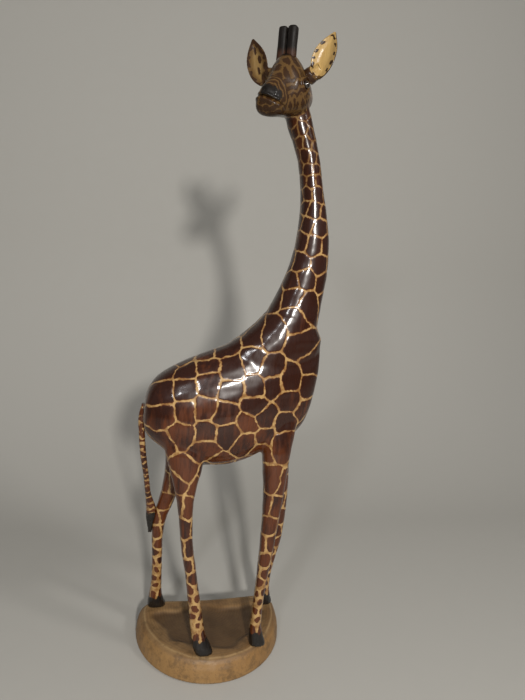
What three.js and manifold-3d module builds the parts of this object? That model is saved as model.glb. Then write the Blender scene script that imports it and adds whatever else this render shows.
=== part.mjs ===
// Standing carved wooden giraffe on a half-round slice of log, built up from glued and doweled pieces.
// Millimetres, +Z up. Origin: underside of the base, at the middle of its footprint.
// +X is the way the body faces, +Y is the animal's left side.

import * as THREE from 'three';
import { ParametricGeometry } from 'three/addons/geometries/ParametricGeometry.js';
import { mergeVertices } from 'three/addons/utils/BufferGeometryUtils.js';
import Module from 'manifold-3d';

const wasm = await Module();
wasm.setup();

// ---------------------------------------------------------------- driving dimensions

const CLEARANCE = 0.3; // gap left in every glued joint

const BASE_THICKNESS = 40;
const BASE_RADIUS = 131; // bark side of the half log
const BASE_FRONT = 84; // from the origin to the front of the slice
const BASE_BACK = 84; // from the origin to the sawn back
const BASE_CORNER = 26; // rounding where the bark side meets the sawn back

const LEG_LENGTH = 302; // sole to the joint under the belly
const SHOULDER_HEIGHT = 258; // leg joint to neck joint
const NECK_LENGTH = 268; // neck joint to head joint
const THROAT_HEIGHT = 71; // head joint to the middle of the skull

const HEAD_X = 54;
const HEAD_Y = 0;
const HEAD_YAW = -129; // degrees from the body's own heading, turned to the animal's right
const HEAD_PITCH = 21; // muzzle down
const HEAD_ROLL = 3; // left side down
const HORN_LENGTH = 38;
const HORN_WIDTH = 13.8;
const HORN_FOOT = 8; // how far the horn's foot reaches below its root, to follow the skull
const EYE_RADIUS = 5.5;
const MOUTH_GAP = 2.6;
const MOUTH_SLOPE = 30; // the slit rises towards the front of the lips
const MOUTH_ROLL = 14; // and drops towards the left cheek
const MOUTH_CORNER = [63, 0, -21];
const MOUTH_LENGTH = 40; // of the saw cut, which runs out past the lips
const MOUTH_WIDTH = 70; // and past both cheeks

const LEG_TENON_RADIUS = 8;
const LEG_TENON_LENGTH = 28;
const FOOT_DOWEL_RADIUS = 4;
const FOOT_DOWEL_LENGTH = 40;
const FOOT_DOWEL_IN_BASE = 18;
const FOOT_DOWEL_SHARE = 0.06; // the dowel is under the leg's middle at this share of its length
const NECK_DOWEL_RADIUS = 9;
const NECK_DOWEL_LENGTH = 64;
const HEAD_DOWEL_RADIUS = 6;
const HEAD_DOWEL_LENGTH = 40;
const HEAD_DOWEL_SHARE = 0.96; // the neck row, as a share of the neck's length, that it is centred on
const EAR_TENON_RADIUS = 3.5;
const EAR_TENON_LENGTH = 12;
const HORN_TENON_RADIUS = 4;
const HORN_TENON_LENGTH = 14;
const TAIL_TENON_RADIUS = 3.2;
const TAIL_TENON_LENGTH = 16;
const OVERRUN = 10; // how far a tool runs past the face that it cuts or joins

// Heights that follow from the ones above.
const SOLE = BASE_THICKNESS + CLEARANCE;
const LEG_JOINT = SOLE + LEG_LENGTH;
const NECK_JOINT = LEG_JOINT + SHOULDER_HEIGHT;
const HEAD_JOINT = NECK_JOINT + NECK_LENGTH;
const SKULL_HEIGHT = HEAD_JOINT + THROAT_HEIGHT;

// ---------------------------------------------------------------- section tables
// Base: height as a share of the thickness, and how far the edge stands in from the outline.
const BASE_LEVELS = [[0, 3], [0.08, 0], [0.35, 0.6], [0.6, 2.5], [0.8, 6], [0.93, 11], [1, 17]];
const OUTLINE_POINTS = 64;

// Elsewhere a row is one cross-section: [place along the piece, low edge, high edge, half width, middle].
// Torso: place is X, the edges are heights above the leg joint, the width is across in Y.

const TORSO_ROWS = [
  [-135, 76, 102, 14, 5],
  [-132, 62, 121, 27, 5],
  [-123, 50, 141, 38, 5],
  [-108, 38, 156, 47, 5],
  [-84, 20, 171, 54, 5],
  [-56, 7, 185, 57, 5],
  [-28, 6, 197, 59, 5],
  [0, 7, 210, 59, 5],
  [28, 14, 225, 57, 5],
  [56, 28, 238, 54, 5],
  [82, 42, 244, 49, 5],
  [104, 54, 244, 43, 5],
  [120, 70, 238, 36, 5],
  [130, 90, 232, 29, 5],
  [137, 122, 226, 22, 5],
  [142, 158, 218, 14, 4],
];

// Neck: place is the height above the neck joint over NECK_LENGTH, the edges are X. Below 0 it runs
// down into the shoulders, above 1 into the skull.
const NECK_ROWS = [
  [-0.45, -46, 130, 44, 5],
  [-0.3, -34, 136, 47, 5],
  [-0.2, -11, 144, 46, 5],
  [-0.13, 13, 143.5, 44, 4],
  [-0.06, 33, 134, 41, 4],
  [0, 47, 135, 38, 3],
  [0.08, 58, 136.5, 35, 3],
  [0.16, 67, 138.5, 32.5, 2],
  [0.24, 74, 140, 30.5, 1],
  [0.32, 80, 140.5, 29, 1],
  [0.4, 84, 138.5, 27.5, 0],
  [0.48, 86, 136, 26.5, 0],
  [0.56, 87, 131.5, 24.5, 0],
  [0.64, 87, 126, 23, 0],
  [0.72, 84.5, 120, 22, 0],
  [0.8, 81, 115, 21, 0],
  [0.88, 76, 110, 20.5, 0],
  [0.96, 67, 103, 20.5, 0],
  [1.04, 56, 96, 21, 0],
  [1.12, 48, 88, 21, 0],
  [1.2, 42, 80, 19, 0],
];

// Legs: place is the height above the sole over LEG_LENGTH, the edges are X. Above 1 they run up
// into the torso.
const LEG_ROWS = {
  rear_right: [
    [0, -34, -4, 12, -56],
    [0.04, -40, -10, 14, -52],
    [0.09, -42, -18, 12, -48],
    [0.15, -45, -22, 11, -46],
    [0.25, -49, -27, 10.5, -45],
    [0.36, -53.5, -34, 11, -44],
    [0.46, -58, -39, 11.5, -43],
    [0.56, -64.5, -45, 12.5, -42],
    [0.66, -69, -49, 13, -40],
    [0.76, -72.5, -50.5, 14, -38],
    [0.86, -77.5, -50.5, 16, -36],
    [0.94, -84, -47, 18.5, -34],
    [1.02, -91, -41, 21, -31],
    [1.12, -100, -36, 24, -27],
    [1.24, -106, -38, 23, -22],
    [1.36, -104, -50, 18, -14],
    [1.46, -94, -60, 9, -8],
  ],
  rear_left: [
    [0, -112, -78, 12, 68],
    [0.04, -112, -83, 13, 66],
    [0.09, -110, -87, 12, 65],
    [0.15, -108, -88, 11, 64],
    [0.25, -108, -89, 10.5, 63],
    [0.36, -109, -90, 10.5, 62],
    [0.46, -111, -91, 11, 61],
    [0.56, -112, -89, 12, 59],
    [0.63, -110, -84, 12.5, 57],
    [0.7, -104, -76, 13, 55],
    [0.78, -99, -69, 14, 52],
    [0.86, -96, -61, 16, 49],
    [0.94, -95, -54, 18.5, 46],
    [1.02, -96, -48, 21, 42],
    [1.12, -100, -42, 24, 37],
    [1.24, -106, -40, 23, 32],
    [1.36, -104, -50, 18, 24],
    [1.46, -94, -60, 9, 18],
  ],
  front_right: [
    [0, 58, 88, 12.5, -44],
    [0.04, 57.5, 83, 13, -42],
    [0.1, 58.5, 78, 11.5, -40],
    [0.2, 60, 77.5, 10.5, -40],
    [0.3, 61, 78.5, 10.5, -40],
    [0.4, 62, 80.5, 11, -40],
    [0.49, 62.5, 84, 12, -40],
    [0.58, 63, 87, 13, -39],
    [0.66, 63, 89, 13, -38],
    [0.75, 63, 92, 13.5, -37],
    [0.85, 62, 95, 15, -36],
    [0.94, 60.5, 97, 17.5, -34],
    [1.03, 58, 99, 20, -31],
    [1.14, 54, 103, 22, -27],
    [1.28, 50, 110, 22, -20],
    [1.42, 54, 112, 17, -12],
    [1.54, 66, 104, 9, -8],
  ],
  front_left: [
    [0, 92, 122, 12.5, 58],
    [0.04, 92, 118, 13, 57],
    [0.1, 93, 114, 11.5, 56],
    [0.2, 94, 114, 10.5, 55],
    [0.3, 98, 118, 10.5, 54],
    [0.4, 103, 124, 11, 53],
    [0.49, 104, 127.5, 12, 52],
    [0.58, 102, 128.5, 13, 51],
    [0.66, 99, 129, 13, 50],
    [0.75, 95, 129, 13.5, 49],
    [0.85, 89, 127, 15, 46],
    [0.94, 83, 124, 17.5, 43],
    [1.03, 76, 120, 20, 40],
    [1.14, 66, 115, 22, 36],
    [1.28, 54, 114, 22, 30],
    [1.42, 54, 112, 17, 22],
    [1.54, 66, 104, 9, 18],
  ],
};

// Head, in its own frame (x to the muzzle, y left, z up from the middle of the skull): place is x,
// the edges are z.
const HEAD_ROWS = [
  [-36, -18, 4, 10, 0],
  [-32, -30, 12, 17, 0],
  [-20, -40, 25, 24.5, 0],
  [-2, -42, 37, 29.5, 0],
  [10, -43, 41, 31.5, 0],
  [22, -42, 39, 31, 0],
  [34, -40, 32.5, 28, 0],
  [46, -38, 24.5, 24.5, 0],
  [58, -37, 17, 21.5, 0],
  [68, -36, 11.5, 20, 0],
  [76, -34.5, 7.5, 18.5, 0],
  [82, -30, 2.5, 15.5, 0],
  [86, -22, -5, 8.5, 0],
];

// Ears: place is along the leaf from its lower end over its length, the edges are across it.
const EAR_ROWS = [
  [0, -4, 4, 3.4, 0],
  [0.1, -12, 11.5, 3.6, 0],
  [0.24, -17.5, 16.5, 3.6, 0],
  [0.42, -19.5, 18.5, 3.4, 0],
  [0.6, -18, 17, 3, 0],
  [0.76, -13, 12.5, 2.7, 0],
  [0.9, -6.5, 6.5, 2.3, 0],
  [1, -1.6, 1.6, 1.4, 0],
];
const EAR_WIDEST = 19; // half the width of the widest row
const EAR_PEG_SHARE = 0.6; // the peg ends at this share of the stalk
const EAR_BOW = 7; // how far the leaf's edges stand in front of its middle
const EAR_STALK_RADIUS = 7.5;

// In the head's frame: the leaf runs from low to tip, the stalk from the skull to meet. turn is how
// far the hollow faces outwards, wide the width of the leaf as a share of the table's.
const EARS = {
  ear_left: {
    low: [-4, 41, 7.5],
    tip: [-27, 57, 64],
    skull: [-4, 24, 8],
    meet: [-9, 43, 21],
    turn: -0.2,
    wide: 1,
  },
  ear_right: {
    low: [-3, -50, -0.6],
    tip: [-26, -75.5, 60],
    skull: [-5, -22.5, 8],
    meet: [-11, -52.7, 17.7],
    turn: 0.2,
    wide: 0.88,
  },
};

const EYE_PLACE = [15, 30.3, 1]; // centre of the left bead; the right one mirrors it
const HORN_PLACE = [10, -2.5, 38]; // between the roots of the two horns
const HORN_GAP = 0.6;
const HORN_ROOT = 1.02; // depth of the horn's foot as a share of HORN_WIDTH, and its widest
// Horn: share of HORN_LENGTH, then depth and width as shares of HORN_WIDTH.
const HORN_ROWS = [
  [0.15, 0.98, 0.97],
  [0.4, 0.96, 0.95],
  [0.75, 1.02, 0.98],
  [0.95, 1, 0.96],
  [1, 0.8, 0.78],
];

const TAIL_ROOT = { x: -132, y: 5, above_joint: 104 };
// Path of the tail: share of the fall from the root to the tuft, X and Y from the root, radius.
const TAIL_ROWS = [
  [0, 0, 0, 6.5],
  [0.1, -5, 0, 5.8],
  [0.22, -4, 2, 5.2],
  [0.4, 0, 8, 5.2],
  [0.58, 6, 20, 4.8],
  [0.76, 11, 34, 5.2],
];
// Path of the tuft: the same, with X and Y from its middle.
const TUFT_ROWS = [
  [0.9, -1, -3, 8.5],
  [1, 0, 0, 8.5],
  [1.12, -1, 1, 3.5],
];
const TUFT_FROM_HOCK = [-3, -4]; // X and Y of its middle from the back of the hock
const TAIL_PEG_SHARE = 0.06; // the peg is this share of the fall below the root
const TAIL_PEG_BACK = 6; // how far behind the root it starts
const HOCK_SHARE = 0.6; // height of the left rear hock, where the tuft lies against the leg

// ---------------------------------------------------------------- shaping helpers

const WOOD = { lacquered: 0x3a1a10, black: 0x120e0c, raw: 0xa9855a, dowel: 0xc9a876, bead: 0x0c0807 };

// Bare closed geometry with outward faces, as a solid that can be joined and cut.
function solid(geometry) {
  const bare = geometry.clone();
  bare.deleteAttribute('normal');
  bare.deleteAttribute('uv');
  const merged = mergeVertices(bare, 1e-4);
  const vertices = merged.attributes.position.array;
  const corners = merged.index.array;
  const kept = [];
  let volume = 0;
  const a = new THREE.Vector3();
  const b = new THREE.Vector3();
  const c = new THREE.Vector3();
  for (let i = 0; i < corners.length; i += 3) {
    const [p, q, r] = [corners[i], corners[i + 1], corners[i + 2]];
    if (p === q || q === r || r === p) {
      continue;
    }
    kept.push(p, q, r);
    a.fromArray(vertices, 3 * p);
    b.fromArray(vertices, 3 * q);
    c.fromArray(vertices, 3 * r);
    volume += a.dot(b.cross(c));
  }
  if (volume < 0) {
    kept.reverse();
  }
  const mesh = new wasm.Mesh({
    numProp: 3,
    vertProperties: new Float32Array(vertices),
    triVerts: new Uint32Array(kept),
  });
  return new wasm.Manifold(mesh);
}

function toGeometry(manifold) {
  const mesh = manifold.getMesh();
  const geometry = new THREE.BufferGeometry();
  geometry.setAttribute('position', new THREE.BufferAttribute(new Float32Array(mesh.vertProperties), 3));
  geometry.setIndex(new THREE.BufferAttribute(new Uint32Array(mesh.triVerts), 1));
  geometry.computeVertexNormals();
  return geometry;
}

// Smooth rows between the given ones.
function refine(rows, steps) {
  const edges = rows.map((row) => new THREE.Vector3(row[0], row[1], row[2]));
  const widths = rows.map((row) => new THREE.Vector3(row[3], row[4], 0));
  const edgeCurve = new THREE.CatmullRomCurve3(edges, false, 'catmullrom', 0.5);
  const widthCurve = new THREE.CatmullRomCurve3(widths, false, 'catmullrom', 0.5);
  const count = (rows.length - 1) * steps;
  const fine = [];
  for (let i = 0; i <= count; i += 1) {
    const edge = edgeCurve.getPoint(i / count);
    const width = widthCurve.getPoint(i / count);
    fine.push([edge.x, edge.y, edge.z, width.x, width.y]);
  }
  return fine;
}

// Rounded cosine and sine: squareness 2 is an ellipse, more is boxier.
function rounded(value, squareness) {
  return Math.sign(value) * Math.abs(value) ** (2 / squareness);
}

// Closed skin through the rows. place(along, across, side) turns a row's own axes into a point.
function loft(rows, options, place) {
  const { around, steps = 2, squareness = 2.2, taper = 0, grow = 0, bow = 0 } = options;
  const fine = refine(rows, steps);
  const last = fine.length - 1;
  const stacks = fine.length + 1;
  const skin = (u, v, target) => {
    const stack = Math.round(v * stacks);
    const pole = stack === 0 || stack === stacks;
    const index = Math.min(Math.max(stack - 1, 0), last);
    const [along, low, high, half, middle] = fine[index];
    const angle = (Math.round(u * around) % around) * ((2 * Math.PI) / around);
    const up = pole ? 0 : rounded(Math.sin(angle), squareness);
    const out = pole ? 0 : rounded(Math.cos(angle), squareness);
    const reach = (high - low) / 2 + grow;
    const across = (low + high) / 2 + reach * up;
    const side = middle + (half + grow) * out * (1 - taper * up) + bow * up * up * (reach / EAR_WIDEST);
    const end = index === 0 ? -grow : index === last ? grow : 0;
    target.copy(place(along, across, side)).add(place(end, 0, 0).sub(place(0, 0, 0)));
  };
  return new ParametricGeometry(skin, around, stacks);
}

const upright = (along, across, side) => new THREE.Vector3(across, side, along);
const lying = (along, across, side) => new THREE.Vector3(along, side, across);

// Round bar from one point to another.
function bar(from, to, radius, sides = 16) {
  const start = new THREE.Vector3(...from);
  const end = new THREE.Vector3(...to);
  const length = start.distanceTo(end);
  const geometry = new THREE.CylinderGeometry(radius, radius, length, sides);
  const turn = new THREE.Quaternion().setFromUnitVectors(
    new THREE.Vector3(0, 1, 0),
    end.clone().sub(start).normalize(),
  );
  geometry.applyQuaternion(turn);
  const middle = start.clone().add(end).multiplyScalar(0.5);
  geometry.translate(middle.x, middle.y, middle.z);
  return solid(geometry);
}

// Everything between two heights, wider than the whole object.
function slab(bottom, top) {
  const geometry = new THREE.BoxGeometry(4 * BASE_RADIUS, 4 * BASE_RADIUS, top - bottom);
  geometry.translate(0, 0, (bottom + top) / 2);
  return solid(geometry);
}

const group = new THREE.Group();

function add(name, manifold, colour, roughness) {
  const material = new THREE.MeshStandardMaterial({ color: colour, roughness, metalness: 0 });
  const mesh = new THREE.Mesh(toGeometry(manifold), material);
  mesh.name = name;
  group.add(mesh);
}

// ---------------------------------------------------------------- base

// Outline of the slice: a bark arc at the front, a sawn chord at the back, rounded corners.
function baseOutline() {
  const centre = BASE_RADIUS - BASE_FRONT;
  const chord = BASE_BACK - BASE_CORNER;
  const corner = Math.sqrt((BASE_RADIUS - BASE_CORNER) ** 2 - (chord - centre) ** 2);
  const lean = Math.atan2(chord - centre, corner);
  const shape = new THREE.Shape();
  shape.absarc(0, centre, BASE_RADIUS, Math.PI - lean, 2 * Math.PI + lean, false);
  shape.absarc(corner, chord, BASE_CORNER, lean, Math.PI / 2, false);
  shape.absarc(-corner, chord, BASE_CORNER, Math.PI / 2, Math.PI - lean, false);
  return shape.getSpacedPoints(OUTLINE_POINTS).slice(0, OUTLINE_POINTS);
}

function makeBase() {
  const outline = baseOutline();
  const stacks = BASE_LEVELS.length + 1;
  const skin = (u, v, target) => {
    const stack = Math.round(v * stacks);
    const level = BASE_LEVELS[Math.min(Math.max(stack - 1, 0), BASE_LEVELS.length - 1)];
    const point = outline[Math.round(u * outline.length) % outline.length];
    const share = stack === 0 || stack === stacks ? 0 : 1 - level[1] / point.length();
    target.set(point.x * share, point.y * share, level[0] * BASE_THICKNESS);
  };
  return solid(new ParametricGeometry(skin, outline.length, stacks));
}

// ---------------------------------------------------------------- figure, before it is parted

const LEG_NAMES = Object.keys(LEG_ROWS);

function legSolid(name, grow = 0) {
  const rows = LEG_ROWS[name].map(([share, ...rest]) => [SOLE + share * LEG_LENGTH, ...rest]);
  return solid(loft(rows, { around: 18, steps: 1, squareness: 2.3, grow }, upright));
}

function torsoSolid(grow = 0) {
  const rows = TORSO_ROWS.map(([x, low, high, ...rest]) => [x, LEG_JOINT + low, LEG_JOINT + high, ...rest]);
  return solid(loft(rows, { around: 28, steps: 2, squareness: 2.3, taper: 0.12, grow }, lying));
}

function neckSolid() {
  const rows = NECK_ROWS.map(([share, ...rest]) => [NECK_JOINT + share * NECK_LENGTH, ...rest]);
  return solid(loft(rows, { around: 26, steps: 1, squareness: 2.1 }, upright));
}

// Where a leg's section is, at a share of its height.
function legMiddle(name, share) {
  const rows = LEG_ROWS[name];
  const above = rows.findIndex((row) => row[0] >= share);
  const [lower, upper] = [rows[Math.max(above - 1, 0)], rows[above]];
  const span = upper[0] - lower[0] || 1;
  const mix = (share - lower[0]) / span;
  const blend = (of) => of(lower) + (of(upper) - of(lower)) * mix;
  const x = blend((row) => (row[1] + row[2]) / 2);
  return { x, y: blend((row) => row[4]), back: blend((row) => row[1]) };
}

// ---------------------------------------------------------------- head

const headFrame = new THREE.Matrix4();
{
  const turn = new THREE.Matrix4().makeRotationZ(THREE.MathUtils.degToRad(HEAD_YAW));
  turn.multiply(new THREE.Matrix4().makeRotationY(THREE.MathUtils.degToRad(HEAD_PITCH)));
  turn.multiply(new THREE.Matrix4().makeRotationX(THREE.MathUtils.degToRad(-HEAD_ROLL)));
  headFrame.makeTranslation(HEAD_X, HEAD_Y, SKULL_HEIGHT).multiply(turn);
}
const inHead = (point) => new THREE.Vector3(...point).applyMatrix4(headFrame);

function skullSolid(grow = 0) {
  const geometry = loft(HEAD_ROWS, { around: 24, steps: 2, squareness: 2.25, taper: 0.36, grow }, lying);
  geometry.applyMatrix4(headFrame);
  return solid(geometry);
}

function mouthCut() {
  const slit = new THREE.BoxGeometry(MOUTH_LENGTH, MOUTH_WIDTH, MOUTH_GAP);
  slit.translate(MOUTH_LENGTH / 2, 0, 0);
  slit.rotateX(THREE.MathUtils.degToRad(-MOUTH_ROLL));
  slit.rotateY(THREE.MathUtils.degToRad(-MOUTH_SLOPE));
  slit.translate(...MOUTH_CORNER);
  slit.applyMatrix4(headFrame);
  return solid(slit);
}

function earSolid({ low, tip, skull, meet, turn, wide }) {
  const along = new THREE.Vector3(...tip).sub(new THREE.Vector3(...low));
  const length = along.length();
  along.normalize();
  const facing = new THREE.Vector3(1, turn, 0);
  facing.addScaledVector(along, -facing.dot(along)).normalize();
  const across = new THREE.Vector3().crossVectors(facing, along);
  const place = (s, width, depth) => new THREE.Vector3(...low)
    .addScaledVector(along, s)
    .addScaledVector(across, width)
    .addScaledVector(facing, depth);
  const rows = EAR_ROWS.map(
    ([share, inner, outer, ...rest]) => [share * length, inner * wide, outer * wide, ...rest],
  );
  const leaf = loft(rows, { around: 20, steps: 2, squareness: 2, bow: EAR_BOW }, place);
  leaf.applyMatrix4(headFrame);
  const way = new THREE.Vector3(...skull).sub(new THREE.Vector3(...meet)).normalize();
  const deep = new THREE.Vector3(...skull).addScaledVector(way, EAR_TENON_LENGTH);
  const stalk = bar(inHead(skull).toArray(), inHead(meet).toArray(), EAR_STALK_RADIUS, 16);
  const middle = new THREE.Vector3(...skull).lerp(new THREE.Vector3(...meet), EAR_PEG_SHARE);
  return { body: solid(leaf).add(stalk), inner: inHead(deep.toArray()), outer: inHead(middle.toArray()) };
}

function hornSolid(side) {
  const half = HORN_WIDTH / 2;
  const footRow = [-HORN_FOOT, -half * HORN_ROOT, half * HORN_ROOT, half, 0];
  const rows = HORN_ROWS.map(
    ([share, deep, wide]) => [HORN_LENGTH * share, -half * deep, half * deep, half * wide, 0],
  );
  rows.unshift(footRow);
  const geometry = loft(rows, { around: 16, steps: 1, squareness: 2.8 }, upright);
  const sideways = side * (half * HORN_ROOT + HORN_GAP / 2);
  const lean = new THREE.Matrix4().makeRotationZ(THREE.MathUtils.degToRad(HEAD_YAW));
  const foot = inHead(HORN_PLACE);
  lean.setPosition(foot);
  geometry.translate(0, sideways, 0);
  geometry.applyMatrix4(lean);
  const at = (z) => new THREE.Vector3(0, sideways, z).applyMatrix4(lean);
  return { body: solid(geometry), inner: at(-HORN_FOOT - HORN_TENON_LENGTH), outer: at(HORN_LENGTH * 0.1) };
}

// ---------------------------------------------------------------- tail

function tailSolid() {
  const root = [TAIL_ROOT.x, TAIL_ROOT.y, LEG_JOINT + TAIL_ROOT.above_joint];
  const hockHeight = SOLE + HOCK_SHARE * LEG_LENGTH;
  const hock = legMiddle('rear_left', HOCK_SHARE);
  const tuft = [hock.back + TUFT_FROM_HOCK[0], hock.y + TUFT_FROM_HOCK[1], hockHeight];
  const fall = (share) => root[2] + (tuft[2] - root[2]) * share;
  const points = [
    ...TAIL_ROWS.map(([share, x, y]) => [root[0] + x, root[1] + y, fall(share)]),
    ...TUFT_ROWS.map(([share, x, y]) => [tuft[0] + x, tuft[1] + y, fall(share)]),
  ];
  const radii = [...TAIL_ROWS, ...TUFT_ROWS].map((row) => row[3]);
  const path = new THREE.CatmullRomCurve3(points.map((point) => new THREE.Vector3(...point)));
  const thickness = new THREE.SplineCurve(radii.map((radius, i) => new THREE.Vector2(i, radius)));
  const around = 10;
  const rings = 24;
  const stacks = rings + 2;
  const skin = (u, v, target) => {
    const stack = Math.round(v * stacks);
    const pole = stack === 0 || stack === stacks;
    const share = Math.min(Math.max(stack - 1, 0), rings) / rings;
    const angle = (Math.round(u * around) % around) * ((2 * Math.PI) / around);
    const radius = pole ? 0 : thickness.getPoint(share).y;
    target.copy(path.getPoint(share));
    target.x += radius * Math.cos(angle);
    target.y += radius * Math.sin(angle);
  };
  const inner = [root[0] + TAIL_TENON_LENGTH, root[1], fall(TAIL_PEG_SHARE)];
  const outer = [root[0] - TAIL_PEG_BACK, root[1], fall(TAIL_PEG_SHARE)];
  return { body: solid(new ParametricGeometry(skin, around, stacks)), inner, outer };
}

// ---------------------------------------------------------------- parting and jointing

// A peg on one piece and its socket in the other, which is CLEARANCE wider and deeper.
function peg(inner, outer, radius) {
  return bar(inner, outer, radius);
}
function socket(inner, outer, radius) {
  const from = new THREE.Vector3(...inner);
  const to = new THREE.Vector3(...outer);
  const way = to.clone().sub(from).normalize();
  const deeper = from.clone().addScaledVector(way, -CLEARANCE);
  return bar(deeper.toArray(), to.toArray(), radius + CLEARANCE);
}

const SEAM = CLEARANCE / 2; // each piece's share of the gap at a joint
const SKULL_TOP = SKULL_HEIGHT + THROAT_HEIGHT;
const legs = LEG_NAMES.map((name) => legSolid(name));
const figure = legs.reduce((joined, leg) => joined.add(leg), torsoSolid().add(neckSolid()));

let base = makeBase();
let torso = figure.intersect(slab(LEG_JOINT + SEAM, NECK_JOINT - SEAM));
let neck = neckSolid().intersect(slab(NECK_JOINT + SEAM, HEAD_JOINT - SEAM));
let head = skullSolid().add(neckSolid().intersect(slab(HEAD_JOINT, SKULL_HEIGHT)));
head = head.subtract(mouthCut()).intersect(slab(HEAD_JOINT + SEAM, SKULL_TOP));

// Legs: a round tenon on top, a dowel into the base below.
LEG_NAMES.forEach((name, i) => {
  let leg = legs[i].intersect(slab(SOLE - OVERRUN, LEG_JOINT - SEAM));
  const hip = legMiddle(name, 1);
  const low = [hip.x, hip.y, LEG_JOINT - OVERRUN];
  const high = [hip.x, hip.y, LEG_JOINT + LEG_TENON_LENGTH];
  leg = leg.add(peg(low, high, LEG_TENON_RADIUS));
  torso = torso.subtract(socket(high, low, LEG_TENON_RADIUS));

  const foot = legMiddle(name, FOOT_DOWEL_SHARE);
  const footAt = (z) => [foot.x, foot.y, z];
  const bottom = footAt(BASE_THICKNESS - FOOT_DOWEL_IN_BASE);
  const tip = footAt(BASE_THICKNESS - FOOT_DOWEL_IN_BASE + FOOT_DOWEL_LENGTH);
  leg = leg.subtract(socket(tip, footAt(SOLE - OVERRUN), FOOT_DOWEL_RADIUS));
  base = base.subtract(socket(bottom, footAt(BASE_THICKNESS + OVERRUN), FOOT_DOWEL_RADIUS));
  add(`leg_${name}`, leg, WOOD.lacquered, 0.3);
  add(`foot_dowel_${name}`, peg(bottom, tip, FOOT_DOWEL_RADIUS), WOOD.dowel, 0.7);
});

// Neck and head: loose dowels across flat joints.
function dowelAcross(name, joint, rows, share, radius, length, below, above) {
  const row = rows.reduce((best, one) => (Math.abs(one[0] - share) < Math.abs(best[0] - share) ? one : best));
  const x = (row[1] + row[2]) / 2;
  const from = [x, row[4], joint - length / 2];
  const to = [x, row[4], joint + length / 2];
  add(name, peg(from, to, radius), WOOD.dowel, 0.7);
  return [
    below.subtract(socket(from, [x, row[4], joint + OVERRUN], radius)),
    above.subtract(socket(to, [x, row[4], joint - OVERRUN], radius)),
  ];
}
[torso, neck] = dowelAcross(
  'neck_dowel', NECK_JOINT, NECK_ROWS, 0, NECK_DOWEL_RADIUS, NECK_DOWEL_LENGTH, torso, neck,
);
[neck, head] = dowelAcross(
  'head_dowel', HEAD_JOINT, NECK_ROWS, HEAD_DOWEL_SHARE, HEAD_DOWEL_RADIUS, HEAD_DOWEL_LENGTH, neck, head,
);

// Tail: pegged into the rump, its tuft glued beside the left rear hock.
const tail = tailSolid();
const tailBody = tail.body
  .subtract(torsoSolid(CLEARANCE))
  .subtract(legSolid('rear_left', CLEARANCE))
  .add(peg(tail.inner, tail.outer, TAIL_TENON_RADIUS));
torso = torso.subtract(socket(tail.inner, tail.outer, TAIL_TENON_RADIUS));
add('tail', tailBody, WOOD.lacquered, 0.35);

// Horns, ears and eyes: seated on the skull.
const skullGrown = skullSolid(CLEARANCE);
for (const [name, side] of [['horn_left', 1], ['horn_right', -1]]) {
  const horn = hornSolid(side);
  const tenon = [horn.inner.toArray(), horn.outer.toArray(), HORN_TENON_RADIUS];
  head = head.subtract(socket(...tenon));
  add(name, horn.body.subtract(skullGrown).add(peg(...tenon)), WOOD.black, 0.35);
}
for (const [name, ear] of Object.entries(EARS)) {
  const { body, inner, outer } = earSolid(ear);
  const tenon = [inner.toArray(), outer.toArray(), EAR_TENON_RADIUS];
  head = head.subtract(socket(...tenon));
  add(name, body.subtract(skullGrown).add(peg(...tenon)), WOOD.lacquered, 0.35);
}
for (const [name, side] of [['eye_left', 1], ['eye_right', -1]]) {
  const centre = inHead([EYE_PLACE[0], side * EYE_PLACE[1], EYE_PLACE[2]]);
  const ball = (radius) => solid(new THREE.SphereGeometry(radius, 14, 8).translate(...centre.toArray()));
  head = head.subtract(ball(EYE_RADIUS + CLEARANCE));
  add(name, ball(EYE_RADIUS), WOOD.bead, 0.1);
}

add('torso', torso, WOOD.lacquered, 0.3);
add('neck', neck, WOOD.lacquered, 0.3);
add('head', head, WOOD.lacquered, 0.3);
add('base', base, WOOD.raw, 0.7);

export default group;
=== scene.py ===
"""The looks of a standing carved wooden giraffe: shape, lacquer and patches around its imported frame."""
import math

import bmesh
import bpy
import numpy as np
from mathutils import Matrix, Vector


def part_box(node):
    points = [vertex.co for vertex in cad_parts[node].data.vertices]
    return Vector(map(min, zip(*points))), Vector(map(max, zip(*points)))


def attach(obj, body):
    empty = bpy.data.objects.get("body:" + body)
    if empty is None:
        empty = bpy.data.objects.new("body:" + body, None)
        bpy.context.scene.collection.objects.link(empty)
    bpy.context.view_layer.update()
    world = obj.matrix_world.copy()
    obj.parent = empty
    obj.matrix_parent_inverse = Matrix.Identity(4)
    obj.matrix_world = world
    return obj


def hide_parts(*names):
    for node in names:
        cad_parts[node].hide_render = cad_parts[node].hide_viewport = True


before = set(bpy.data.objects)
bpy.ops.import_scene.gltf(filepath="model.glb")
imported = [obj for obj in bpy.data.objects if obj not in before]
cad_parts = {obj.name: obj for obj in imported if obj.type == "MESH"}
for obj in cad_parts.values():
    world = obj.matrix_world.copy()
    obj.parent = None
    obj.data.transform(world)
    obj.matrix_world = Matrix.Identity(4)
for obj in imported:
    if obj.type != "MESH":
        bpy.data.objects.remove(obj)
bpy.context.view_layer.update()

bl_info = {
    "name": "Carved giraffe",
    "version": (1, 0, 0),
    "blender": (4, 5, 0),
    "location": "3D View > Sidebar > Giraffe",
    "description": "Carves, paints and stages a wooden giraffe on a log slice",
    "category": "Object",
}

MM = 0.001

# ---------------------------------------------------------------- places

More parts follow.
